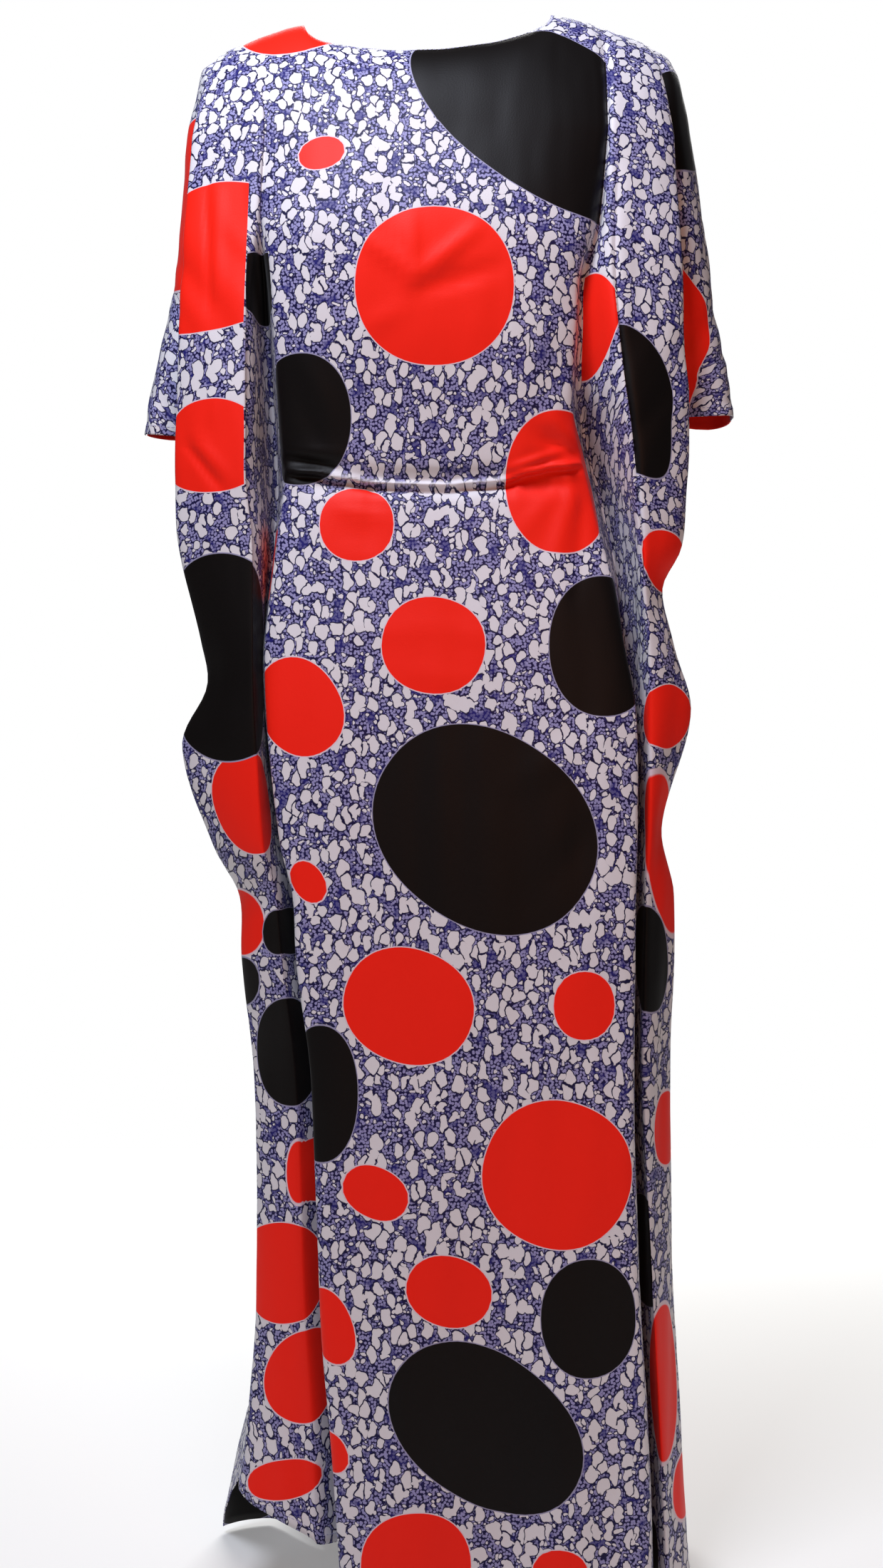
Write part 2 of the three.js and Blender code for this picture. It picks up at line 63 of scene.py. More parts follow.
SECTION = "height corner cornerDepth deep deepDepth inner innerDepth outer outerDepth"
SECTIONS = {
    ("front", "left"): table(
        SECTION,
        (1330, 150, 94, 158, 92, 168, 92, 226, 66), (1240, 154, 106, 162, 97, 172, 106, 232, 80),
        (1195, 152, 106, 161, 74, 174, 109, 234, 82), (1150, 149, 104, 160, 54, 175, 110, 236, 84),
        (1062, 143, 90, 155, 34, 175, 110, 240, 82), (1010, 141, 82, 153, 26, 175, 108, 240, 80),
        (955, 148, 87, 156, 28, 169, 106, 237, 78), (870, 158, 94, 161, 34, 168, 108, 218, 76),
        (830, 158, 98, 161, 37, 168, 108, 213, 74), (775, 154, 103, 157, 40, 166, 108, 235, 72),
        (685, 142, 108, 144, 42, 160, 102, 208, 68),
        (640, 131, 112, 130, 42, 150, 92, 184, 60), (580, 128, 114, 120, 40, 144, 88, 182, 58),
        (470, 116, 118, 96, 34, 132, 78, 171, 54), (260, 106, 128, 82, 34, 124, 80, 169, 56),
        (125, 93, 136, 70, 38, 116, 86, 173, 62), (15, 86, 142, 62, 42, 112, 94, 182, 68)),
    ("front", "right"): table(
        SECTION,
        (1330, 142, 94, 150, 86, 159, 92, 212, 66), (1240, 132, 106, 141, 90, 153, 105, 215, 80),
        (1195, 121, 106, 128, 88, 153, 110, 217, 82), (1150, 118, 104, 127, 82, 157, 112, 218, 84),
        (1098, 115, 97, 127, 62, 163, 112, 222, 82), (1062, 118, 90, 133, 40, 168, 110, 224, 80),
        (1010, 132, 82, 147, 24, 173, 106, 221, 76), (955, 145, 87, 159, 26, 179, 102, 217, 72),
        (918, 155, 92, 164, 28, 181, 98, 200, 66), (870, 163, 98, 166, 32, 186, 96, 211, 66),
        (806, 174, 104, 170, 34, 188, 94, 227, 64), (700, 174, 110, 170, 32, 187, 92, 201, 56),
        (640, 172, 113, 170, 28, 184, 94, 213, 54), (470, 170, 120, 172, 24, 182, 98, 209, 52),
        (260, 175, 130, 176, 24, 190, 102, 213, 54), (125, 182, 138, 182, 26, 197, 106, 219, 60),
        (15, 185, 144, 184, 28, 201, 110, 226, 64)),
    ("back", "left"): table(
        SECTION,
        (1330, 150, 84, 158, 72, 168, 82, 226, 62), (1240, 152, 96, 158, 62, 170, 94, 230, 72),
        (1150, 146, 92, 152, 46, 170, 98, 234, 76), (1062, 136, 76, 144, 30, 168, 96, 236, 74),
        (1010, 130, 68, 140, 22, 166, 94, 232, 72), (955, 136, 76, 144, 26, 164, 96, 230, 72),
        (870, 142, 92, 152, 36, 168, 100, 220, 74), (830, 143, 98, 152, 39, 168, 101, 214, 73),
        (775, 144, 104, 151, 42, 168, 102, 224, 70), (685, 140, 112, 142, 46, 165, 100, 204, 64),
        (640, 137, 116, 134, 48, 158, 94, 190, 60), (470, 128, 128, 108, 44, 144, 94, 174, 62),
        (260, 130, 146, 104, 48, 146, 104, 178, 72), (150, 134, 154, 106, 50, 150, 112, 182, 80),
        (80, 142, 160, 110, 52, 162, 116, 200, 88), (15, 152, 166, 114, 56, 170, 122, 214, 96)),
    ("back", "right"): table(
        SECTION,
        (1330, 142, 84, 152, 72, 163, 82, 212, 62), (1240, 141, 96, 152, 62, 165, 94, 218, 72),
        (1150, 137, 92, 148, 48, 166, 98, 222, 76), (1062, 134, 78, 142, 30, 166, 96, 228, 74),
        (1010, 132, 68, 144, 24, 168, 94, 228, 72), (955, 138, 78, 150, 26, 172, 96, 216, 72),
        (918, 144, 85, 154, 30, 174, 98, 205, 72), (870, 150, 92, 157, 34, 177, 100, 212, 74),
        (775, 158, 106, 156, 42, 182, 100, 222, 68), (685, 158, 114, 148, 46, 180, 98, 208, 62),
        (640, 156, 118, 144, 46, 178, 96, 206, 60), (470, 150, 130, 134, 44, 174, 94, 204, 60),
        (260, 156, 148, 136, 48, 182, 104, 214, 70), (125, 164, 158, 142, 52, 192, 112, 224, 78),
        (15, 172, 166, 150, 56, 200, 118, 230, 84)),
}

# The side seam inside the wing, which above the sleeve hem is a crease on each panel.
SIDE_LINE = table(
    "height left right creaseDepth",
    (1330, 204, 193, 44), (1240, 188, 183, 52), (1150, 180, 176, 54), (1062, 175, 171, 32),
    (1024, 172, 170, 0), (955, 176, 174, 0), (870, 173, 172, 0), (775, 169, 172, 0),
    (640, 166, 178, 0), (470, 160, 180, 0), (260, 158, 184, 0), (125, 172, 190, 0),
    (15, 182, 194, 0))

# The upper-arm line, where the sleeve parts of both panels are sewn together.
ARM_LINE = table(
    "height left right",
    (1330, 240, 237), (1240, 246, 249), (1150, 257, 256), (1062, 272, 269), (1024, 276, 272))
ARM_ROUND_ACROSS = 16
ARM_ROUND_DEPTH = 40


def share(value, start, end):
    """How far a value lies on the way from start to end, from 0 to 1."""
    return min(max((value - start) / (end - start), 0.0), 1.0)


def smooth(t):
    return t * t * (3 - 2 * t)


def mix(a, b, t):
    return a + (b - a) * t


def hermite(a, b, slope_a, slope_b, t):
    t2, t3 = t * t, t * t * t
    return ((2 * t3 - 3 * t2 + 1) * a + (t3 - 2 * t2 + t) * slope_a
            + (3 * t2 - 2 * t3) * b + (t3 - t2) * slope_b)


def at(rows, column, height):
    """The value of a column at a height, on a smooth curve through the rows of its table."""
    last = len(rows) - 1
    h = min(max(height, rows[last]["height"]), rows[0]["height"])
    i = 0
    while i < last - 1 and rows[i + 1]["height"] > h:
        i += 1

    def slope(k):
        above, below = rows[max(k - 1, 0)], rows[min(k + 1, last)]
        return (below[column] - above[column]) / (below["height"] - above["height"])

    step = rows[i + 1]["height"] - rows[i]["height"]
    return hermite(rows[i][column], rows[i + 1][column],
                   slope(i) * step, slope(i + 1) * step, (h - rows[i]["height"]) / step)


# Stations run outwards along a section: over the smooth middle to its corner, down into the
# deep fold, out again to the wing's inner and outer folds, and in to the side seam. Above the
# sleeve hem they go on round the sleeve to the arm line.
STATIONS = ["middle", "quarter", "neckPoint", "corner", "deep", "inner", "outer", "seam",
            "round", "arm"]
CORNER, INNER, SEAM = [STATIONS.index(name) for name in ("corner", "inner", "seam")]
QUARTER = 0.4
NECK_POINT = 0.74
SIGN = {"left": -1, "right": 1}
FACING = {"front": -1, "back": 1}
OTHER = {"left": "right", "right": "left", "front": "back", "back": "front"}

SLEEVE_HEM_HEIGHT = 1024
SLEEVE_RISE_FROM = 1285
SLEEVE_RISE_FADES = 915
SLEEVE_RISE = {
    ("front", "left"): 38, ("back", "left"): 46, ("arm", "left"): 44, ("seam", "left"): 34,
    ("front", "right"): 56, ("back", "right"): 56, ("arm", "right"): 58, ("seam", "right"): 52,
}


def station(panel, side, name, height):
    """Where a station of a panel's half lies on the section at one height."""
    rows = SECTIONS[panel, side]
    corner, corner_depth = at(rows, "corner", height), at(rows, "cornerDepth", height)
    middle = at(MIDDLE, panel, height)

    def crown(part):
        return corner_depth + (middle - corner_depth) * math.sqrt(1 - part * part)

    fades = SLEEVE_RISE_FADES if height < SLEEVE_HEM_HEIGHT else SLEEVE_RISE_FROM
    raised = smooth(share(height, fades, SLEEVE_HEM_HEIGHT))
    rise = 0
    if name == "middle":
        across, depth = 0, middle
    elif name == "quarter":
        across, depth = corner * QUARTER, crown(QUARTER)
    elif name == "neckPoint":
        across, depth = corner * NECK_POINT, crown(NECK_POINT)
    elif name == "seam":
        across, depth = at(SIDE_LINE, side, height), max(at(SIDE_LINE, "creaseDepth", height), 0)
        rise = raised * SLEEVE_RISE["seam", side]
    elif name == "round":
        across, depth = at(ARM_LINE, side, height) - ARM_ROUND_ACROSS, ARM_ROUND_DEPTH
        rise = raised * SLEEVE_RISE[panel, side]
    elif name == "arm":
        across, depth = at(ARM_LINE, side, height), 0
        rise = raised * SLEEVE_RISE["arm", side]
    else:
        across, depth = at(rows, name, height), at(rows, name + "Depth", height)
    return Vector((SIGN[side] * across, FACING[panel] * depth, height + rise))


def half_section(panel, side, height):
    """The stations of a panel's half at one height, with one neighbour at each end."""
    has_sleeve = height >= SLEEVE_HEM_HEIGHT
    names = STATIONS if has_sleeve else STATIONS[:SEAM + 1]
    return ([station(panel, OTHER[side], "quarter", height)]
            + [station(panel, side, name, height) for name in names]
            + [station(OTHER[panel], side, "round" if has_sleeve else "outer", height)])


EASE = {"corner": 0.45, "inner": 0.4, "outer": 0.6}    # the lower, the sharper the fold
SHARP_FROM, SHARP_TO = 1270, 1110


def on_curve(points, i, t, height):
    """A place between two stations; the folds sharpen on the way down from the shoulders."""
    before, a, b, after = points[i:i + 4]
    sharp = smooth(share(height, SHARP_FROM, SHARP_TO))
    ease_a = mix(1, EASE.get(STATIONS[i], 1), sharp) / 2
    ease_b = mix(1, EASE.get(STATIONS[i + 1], 1), sharp) / 2
    return Vector([hermite(a[k], b[k], (b[k] - before[k]) * ease_a, (after[k] - a[k]) * ease_b, t)
                   for k in range(3)])


NECK_MIDDLE = -14
NECK_HALF_WIDTH = 117
NECK_POINT_HEIGHT = {"left": 1453, "right": 1463}
NECK_DROP = {"front": 48, "back": 20}
NECK_DEPTH = {"front": 60, "back": 52}
NECK_ROUNDNESS = {"front": 2.1, "back": 3}
NECK_PLAN_ROUNDNESS = 2.2
SHOULDER_END = {"left": -222, "right": 213}
SHOULDER_SLOPE = 16
SHOULDER_ROUND_OFF = 23
TOP_EDGE_SHARE = {"neckPoint": 0, "corner": 0.32, "deep": 0.42, "inner": 0.54, "outer": 0.76,
                  "seam": 0.86, "round": 0.94, "arm": 1}


def top_edge(panel, side, i, t):
    """The neck edge, and beyond the neck point the shoulder seam."""
    neck_stations = STATIONS.index("neckPoint")
    point = NECK_POINT_HEIGHT[side]
    level = sum(NECK_POINT_HEIGHT.values()) / 2
    if i < neck_stations:
        out = math.sin(math.pi / 2 * (i + t) / neck_stations)
        curve = max(1 - out ** NECK_ROUNDNESS[panel], 0) ** (1 / NECK_ROUNDNESS[panel])
        plan = max(1 - out ** NECK_PLAN_ROUNDNESS, 0) ** (1 / NECK_PLAN_ROUNDNESS)
        return Vector((NECK_MIDDLE + SIGN[side] * NECK_HALF_WIDTH * out,
                       FACING[panel] * NECK_DEPTH[panel] * plan,
                       mix(level, point, out) - NECK_DROP[panel] * curve))
    along = mix(TOP_EDGE_SHARE[STATIONS[i]], TOP_EDGE_SHARE[STATIONS[i + 1]], t)
    neck_end = NECK_MIDDLE + SIGN[side] * NECK_HALF_WIDTH
    return Vector((mix(neck_end, SHOULDER_END[side], along), 0,
                   point - SHOULDER_SLOPE * along - SHOULDER_ROUND_OFF * along * along))


# Upright folds of the skirt: across is their place at the hem, and they run out at top.
SKIRT_FOLDS = table(
    "panel across width depth top",
    ("front", -38, 34, 6, 560), ("front", 58, 40, -7, 620), ("front", 118, 30, 8, 480),
    ("back", -112, 24, 16, 1000), ("back", -70, 20, -14, 940), ("back", -26, 26, 18, 1040),
    ("back", 18, 20, -15, 900), ("back", 62, 26, 17, 1010), ("back", 106, 20, -13, 960))
FOLD_SPREAD_AT_WAIST = 0.72
FOLD_SPREAD_OVER = 1000


def skirt_fold(panel, across, height):
    spread = mix(1, FOLD_SPREAD_AT_WAIST, share(height, 0, FOLD_SPREAD_OVER))
    depth = 0
    for fold in SKIRT_FOLDS:
        if fold["panel"] == panel:
            away = (across - fold["across"] * spread) / fold["width"]
            depth += fold["depth"] * smooth(share(height, fold["top"], 0)) * math.exp(-away * away)
    return depth


# The grid of a half panel. Its columns lie between stations. Its rows are the yoke's, and below
# them those from one height to the next, so far apart. The first row and the last column stop
# just short of the seams, so that the two panels don't touch.
COLUMNS_TO = {"quarter": 9, "neckPoint": 9, "corner": 9, "deep": 10, "inner": 12,
              "outer": 22, "seam": 9, "round": 6, "arm": 9}
EDGE_SHARE = 0.995
YOKE_ROWS = 24
YOKE_RING = 1330        # the height at which the yoke ends
HEM_LEVEL = 15
ROW_STEPS = ((YOKE_RING, 1045, 7.2), (1045, 1000, 1.5), (1000, 980, 4.0), (980, HEM_LEVEL, 7.8))

half_columns = [(0, 0.0)]
for station_number, station_name in enumerate(STATIONS[1:]):
    count = COLUMNS_TO[station_name]
    half_columns += [(station_number, k / count) for k in range(1, count + 1)]
LAST_COLUMN = len(half_columns) - 1
LAST_LOWER_COLUMN = sum(COLUMNS_TO[name] for name in STATIONS[1:SEAM + 1])
half_columns[LAST_LOWER_COLUMN] = (SEAM - 1, EDGE_SHARE)
half_columns[LAST_COLUMN] = (len(STATIONS) - 2, EDGE_SHARE)

row_heights = []
for start, end, step in ROW_STEPS:
    count = round((start - end) / step)
    row_heights += [mix(start, end, k / count) for k in range(count)]
row_heights.append(ROW_STEPS[-1][1])
SLEEVE_HEM_ROW = min(range(len(row_heights)),
                     key=lambda k: abs(row_heights[k] - SLEEVE_HEM_HEIGHT))
row_heights[SLEEVE_HEM_ROW] = SLEEVE_HEM_HEIGHT
ROWS = YOKE_ROWS + len(row_heights)

# The cut of a panel: v runs down it from the shoulder seam's level, u across it from the middle.
# Above the hips the wing hangs turned from its grain, because it hangs from the shoulder.
RING_V = 129
WING_CENTRE_ABOVE = 110
WING_TURN_FROM, WING_TURN_TO = 420, 900


def cut_place(along, along_corner, v):
    if along <= along_corner:
        return along, v
    a, r = along - along_corner, v + WING_CENTRE_ABOVE
    turn = a / r
    turned = 1 - smooth(share(v, WING_TURN_FROM, WING_TURN_TO))
    return (along_corner + turned * r * math.sin(turn) + (1 - turned) * a,
            v - turned * r * (1 - math.cos(turn)))


HEM_FROM = 300          # below this height the cloth is drawn to its own hem
# Heights of the hem at the middle, quarter, neck point, corner, deep, inner, outer and seam.
HEM = {
    ("front", "left"): (12, 12, 12, 14, 46, 58, 96, 112),
    ("front", "right"): (12, 12, 12, 14, 22, 18, 20, 24),
    ("back", "left"): (8, 8, 8, 7, 12, 6, 7, 112),
    ("back", "right"): (8, 8, 8, 8, 12, 9, 12, 24),
}


def hanging_rows(panel, side):
    """Rows of places and cut places, from the ring under the shoulders down to the hem."""
    places, cuts = [], []
    hem = HEM[panel, side]
    for height in row_heights:
        points = half_section(panel, side, height)
        row, cut, along, along_corner = [], [], 0.0, math.inf
        end = LAST_COLUMN if height >= SLEEVE_HEM_HEIGHT else LAST_LOWER_COLUMN
        for i, t in half_columns[:end + 1]:
            place = on_curve(points, i, t, height)
            if i < CORNER:
                edge = smooth(share(CORNER - i - t, 0, 1))
                place.y += FACING[panel] * skirt_fold(panel, place.x, height) * edge
            lowest = mix(hem[min(i, SEAM)], hem[min(i + 1, SEAM)], t)
            place.z += (lowest - HEM_LEVEL) * share(height, HEM_FROM, HEM_LEVEL)
            if row:
                along += (place - row[-1]).length
            if (i, t) == (CORNER - 1, 1.0):
                along_corner = along
            row.append(place)
            cut.append(cut_place(along, along_corner, RING_V + YOKE_RING - place.z))
        places.append(row)
        cuts.append(cut)
    return places, cuts


YOKE_LEAN_BACK = 0.28
YOKE_TOP = 0.12
YOKE_CROWDING = 1.15    # its rows crowd together towards the top edge


def yoke_rows(panel, side, ring, ring_cut):
    """Rows of places and cut places, from the neck and shoulder seam down to the ring."""
    yoke, yoke_cuts = [], []
    for r in range(YOKE_ROWS, 0, -1):
        up = 1 - (1 - r / YOKE_ROWS) ** YOKE_CROWDING
        up = min(up, EDGE_SHARE) if r == YOKE_ROWS else up
        row, cut = [], []
        for (i, t), low, (u, v) in zip(half_columns, ring, ring_cut):
            high = top_edge(panel, side, i, t)
            bend = Vector(((low.x + high.x) / 2, mix(low.y, high.y, YOKE_LEAN_BACK),
                           mix(high.z, low.z, YOKE_TOP)))
            place = low * (1 - up) ** 2 + bend * 2 * up * (1 - up) + high * up ** 2
            row.append(place)
            cut.append((mix(u, abs(high.x), up), v - (place - low).length))
        yoke.append(row)
        yoke_cuts.append(cut)
    return yoke, yoke_cuts


def half_panel(panel, side):
    """Rows of places and cut places, from the top edge down and from the middle outwards."""
    places, cuts = hanging_rows(panel, side)
    yoke, yoke_cuts = yoke_rows(panel, side, places[0], cuts[0])
    return yoke + places, yoke_cuts + cuts


# Soft relief of the cloth: the tuck round the waist, listed creases, the slack between
# them, and the turned edges. Each kind of slack has a rise, and its waves have a width, a length
# and a seed. The streaks stand out most in the folded wings and the low skirt.
# The last kind is not relief: its waves break up the painted highlight along the crest of the tuck.
SLACK = {"broad": (1.1, 95, 120, 3.1), "streaks": (1.0, 26, 240, 7.7), "fine": (0.35, 11, 40, 1.3),
         "gathers": (0.9, 9, 60, 5.5), "fine gathers": (0.54, 4.5, 40, 8.5),
         "highlight_patchiness": (1.0, 14, 1, 2.2)}
STREAKS = {"waist": 1.0, "skirt": 2.0, "wing": 2.2}
STREAKS_FROM, STREAKS_TO = 1010, 700


def slack(kind, across, down):
    rise, width, length, seed = SLACK[kind]
    return rise * noise.noise(Vector((across / width, down / length, seed)))


WAIST_TUCK = {
    "front": ((-150, 1024), (-118, 1021), (-89, 1016), (-59, 1011), (-34, 1009), (2, 1008),
              (33, 1011), (55, 1013), (80, 1021), (105, 1026), (150, 1034)),
    "back": ((-140, 1022), (-90, 1016), (-30, 1009), (30, 1010), (90, 1018), (140, 1026)),
}
TUCK = table("above width rise", (0, 2.6, 4.4), (10, 5.0, -1.0), (-5.5, 3.4, -3.4))
TUCK_REACH = 60
TUCK_END = 0.5          # the share of the way to the corner over which it runs out
GATHERS_REACH = 26


def tuck_height(panel, i, across):
    """The height of the tuck, which runs over the smooth middle alone."""
    line = WAIST_TUCK[panel]
    for (x0, z0), (x1, z1) in zip(line, line[1:]):
        if i < CORNER and x0 <= across <= x1:
            return mix(z0, z1, smooth((across - x0) / (x1 - x0)))
    return None


def tuck_relief(panel, i, t, across, height):
    level = tuck_height(panel, i, across)
    if level is None or abs(height - level) >= TUCK_REACH:
        return 0
    tuck = 0
    for part in TUCK:
        away = (height - level - part["above"]) / part["width"]
        tuck += part["rise"] * math.exp(-away * away)
    gathers = slack("gathers", across, height) + slack("fine gathers", across, height)
    return (tuck * share(CORNER - i - t, 0, TUCK_END)
            + gathers * math.exp(-((height - level) / GATHERS_REACH) ** 2))


# Painted highlight: the crest of the waist tuck is painted near-white, in patches, where light from
# above catches it.
HIGHLIGHT_CREST_HALF_WIDTH = 1.5      # half the width of the painted highlight along the crest of the tuck
HIGHLIGHT_ABOVE_TUCK = 0.6
HIGHLIGHT_PATCHES = (-0.5, 0.1)


def painted_highlight(panel, i, t, place):
    """How strongly the crest of the tuck is painted pale as a highlight, from 0 to 1."""
    level = tuck_height(panel, i, place.x)
    if level is None:
        return 0.0
    away = (place.z - level - HIGHLIGHT_ABOVE_TUCK) / HIGHLIGHT_CREST_HALF_WIDTH
    patchy = share(slack("highlight_patchiness", place.x, 0), *HIGHLIGHT_PATCHES)
    return math.exp(-away * away) * patchy * share(CORNER - i - t, 0, TUCK_END)


# A crease of the front panel is a ridge, or a trough where its rise is negative.
CREASES = table(
    "layer fromAcross fromHeight toAcross toHeight width rise",
    ("middle", -28, 1240, -24, 1178, 6, 3.8), ("middle", -29, 1190, -70, 1226, 6, 3.4),
    ("middle", -25, 1184, 34, 1232, 6, 4.0), ("middle", -20, 1176, 50, 1196, 7, -3.2),
    ("middle", -34, 1160, -66, 1144, 8, 1.6), ("middle", 58, 1022, 112, 1040, 4, 3.4),
    ("middle", 84, 1054, 128, 1034, 6, -3.6), ("middle", 96, 1072, 118, 1044, 5, 3.0),
    ("middle", 112, 1034, 118, 984, 5, 2.4), ("middle", -146, 1034, -92, 1023, 5, -4.2),
    ("middle", -134, 1040, -88, 1034, 8, 1.8), ("middle", -96, 986, -48, 978, 6, 1.4),
    ("middle", -92, 950, -56, 942, 6, 1.0), ("middle", 8, 880, 40, 868, 6, 1.2),
    ("middle", -36, 884, 6, 876, 8, 0.9), ("middle", -30, 838, 30, 832, 7, 1.0),
    ("middle", 120, 1006, 96, 930, 7, 2.2), ("middle", 128, 992, 118, 900, 6, -2.0),
    ("middle", 100, 1000, 62, 952, 8, 1.6), ("middle", -112, 1004, -100, 930, 8, 1.4),
    ("middle", -60, 1004, -66, 940, 7, -1.2), ("middle", 20, 1002, 16, 930, 9, 1.2),
    ("middle", 150, 790, 70, 742, 14, 1.8), ("middle", 152, 720, 84, 640, 16, -1.8),
    ("middle", 140, 640, 96, 470, 16, 2.0), ("middle", -104, 760, -60, 690, 14, 1.4),
    ("middle", -40, 1290, -46, 1236, 9, -1.4), ("middle", -74, 1290, -66, 1110, 12, 1.5),
    ("middle", -118, 884, -20, 872, 7, 1.1), ("middle", -130, 1128, -98, 1068, 9, 1.7),
    ("middle", -128, 1092, -108, 1040, 7, -1.6), ("middle", 118, 1100, 84, 1046, 10, 1.6),
    ("middle", 126, 1260, 108, 1180, 14, 2.2), ("middle", -132, 1260, -118, 1170, 14, 2.0),
    ("wing", -211, 1280, -207, 1166, 3, -2.4), ("wing", -203, 1276, -199, 1180, 6, 1.6),
    ("wing", -192, 1288, -176, 1312, 5, 1.5), ("wing", -202, 1084, -204, 1062, 4, 1.3),
    ("wing", -230, 1046, -196, 1002, 4, -2.6), ("wing", -222, 1052, -190, 1012, 6, 1.8),
    ("wing", -200, 1000, -212, 940, 8, 1.4))
CREASE_LAYERS = {"middle": (0, 1, 2), "wing": (5,)}
CREASE_REACH = 3        # widths to each side
CREASE_END = 0.12       # a crease rises and falls in half a wave, less this share at each end


def to_segment(across, height, crease):
    """How far along a crease a point lies, from 0 to 1, and how far beside it."""
    dx = crease["toAcross"] - crease["fromAcross"]
    dz = crease["toHeight"] - crease["fromHeight"]
    length = math.hypot(dx, dz)
    px, pz = across - crease["fromAcross"], height - crease["fromHeight"]
    along = min(max((px * dx + pz * dz) / length ** 2, 0), 1)
    return along, math.hypot(px - dx * along, pz - dz * along)


def crease_relief(i, across, height):
    out = 0
    for crease in CREASES:
        if i not in CREASE_LAYERS[crease["layer"]]:
            continue
        along, beside = to_segment(across, height, crease)
        same_side = crease["layer"] == "middle" or crease["fromAcross"] * across > 0
        if beside < CREASE_REACH * crease["width"] and same_side:
            taper = math.sin(math.pi * mix(CREASE_END, 1 - CREASE_END, along))
            out += crease["rise"] * taper * math.exp(-(beside / crease["width"]) ** 2)
    return out


# Along the inner fold of a front wing one layer lies over the other: on the right the strip
# over the wing's face, on the left, as a negative step, the face over the strip.
INNER_STEP = table(
    "height left right",
    (1330, 0, 0), (1240, -1, 2.5), (1150, -3.5, 5), (1010, -4.5, 6), (955, -3.5, 4.5),
    (918, -2, 1), (870, -2, 0), (775, -1.5, 0), (640, 0, 0), (15, 0, 0))
STEP_STARTS = 2         # how far from the fold the step is full
STEP_REACH = 7          # and how far it reaches
FACE_WIDTH = 62         # about, from the inner fold to the outer
STRIP_WIDTH = 40        # about, from the inner fold to the deep one


def layer_step(i, t, across, height):
    """How far the lower layer sinks beside the layer that lies over it."""
    on_face = i == INNER
    if not on_face and (i != INNER - 1 or t == 1):
        return 0
    step = at(INNER_STEP, "left" if across < 0 else "right", height)
    if (step > 0) != on_face:
        return 0
    from_fold = FACE_WIDTH * t if on_face else STRIP_WIDTH * (1 - t)
    return abs(step) * math.exp(-(from_fold / STEP_REACH) ** 2) * share(from_fold, 0, STEP_STARTS)


def relief(panel, i, t, place, u, v):
    """How far the cloth stands out from its plain form, in millimetres."""
    across, height = place.x, place.z
    low = share(height, STREAKS_FROM, STREAKS_TO)
    streaks = mix(STREAKS["waist"], STREAKS["skirt"], low) if i < CORNER else STREAKS["wing"]
    out = slack("broad", u, v) + streaks * slack("streaks", u, v) + slack("fine", u, v)
    out += tuck_relief(panel, i, t, across, height)
    if panel == "front":
        out += crease_relief(i, across, height) - layer_step(i, t, across, height)
    return out


# The edges are turned in twice, 9 mm wide. Each edge ends a run of columns, at a row from which
# its turning goes inwards by the step.
TURNED_FULL, TURNED_GONE = 8, 13    # how far from the edge its relief is full, and gone
TURNED_RISE = 0.5                   # a turned edge is two more layers of cloth
EDGES = table(
    "edge firstColumn lastColumn row step",
    ("neck", 0, COLUMNS_TO["quarter"] + COLUMNS_TO["neckPoint"], 0, 1),
    ("sleeve hem", LAST_LOWER_COLUMN + 1, LAST_COLUMN, YOKE_ROWS + SLEEVE_HEM_ROW, -1),
    ("hem", 0, LAST_LOWER_COLUMN, ROWS - 1, -1))


def turned_edges(places):
    """How far each place near an edge lies on the turning, from 0 to 1, by side, row, column."""
    turned = {}
    for side, rows in places.items():
        for edge in EDGES:
            for c in range(edge["firstColumn"], edge["lastColumn"] + 1):
                r, walked = edge["row"], 0.0
                while walked < TURNED_GONE:
                    turned[side, r, c] = smooth(share(walked, TURNED_GONE, TURNED_FULL))
                    walked += (rows[r + edge["step"]][c] - rows[r][c]).length
                    r += edge["step"]
    return turned


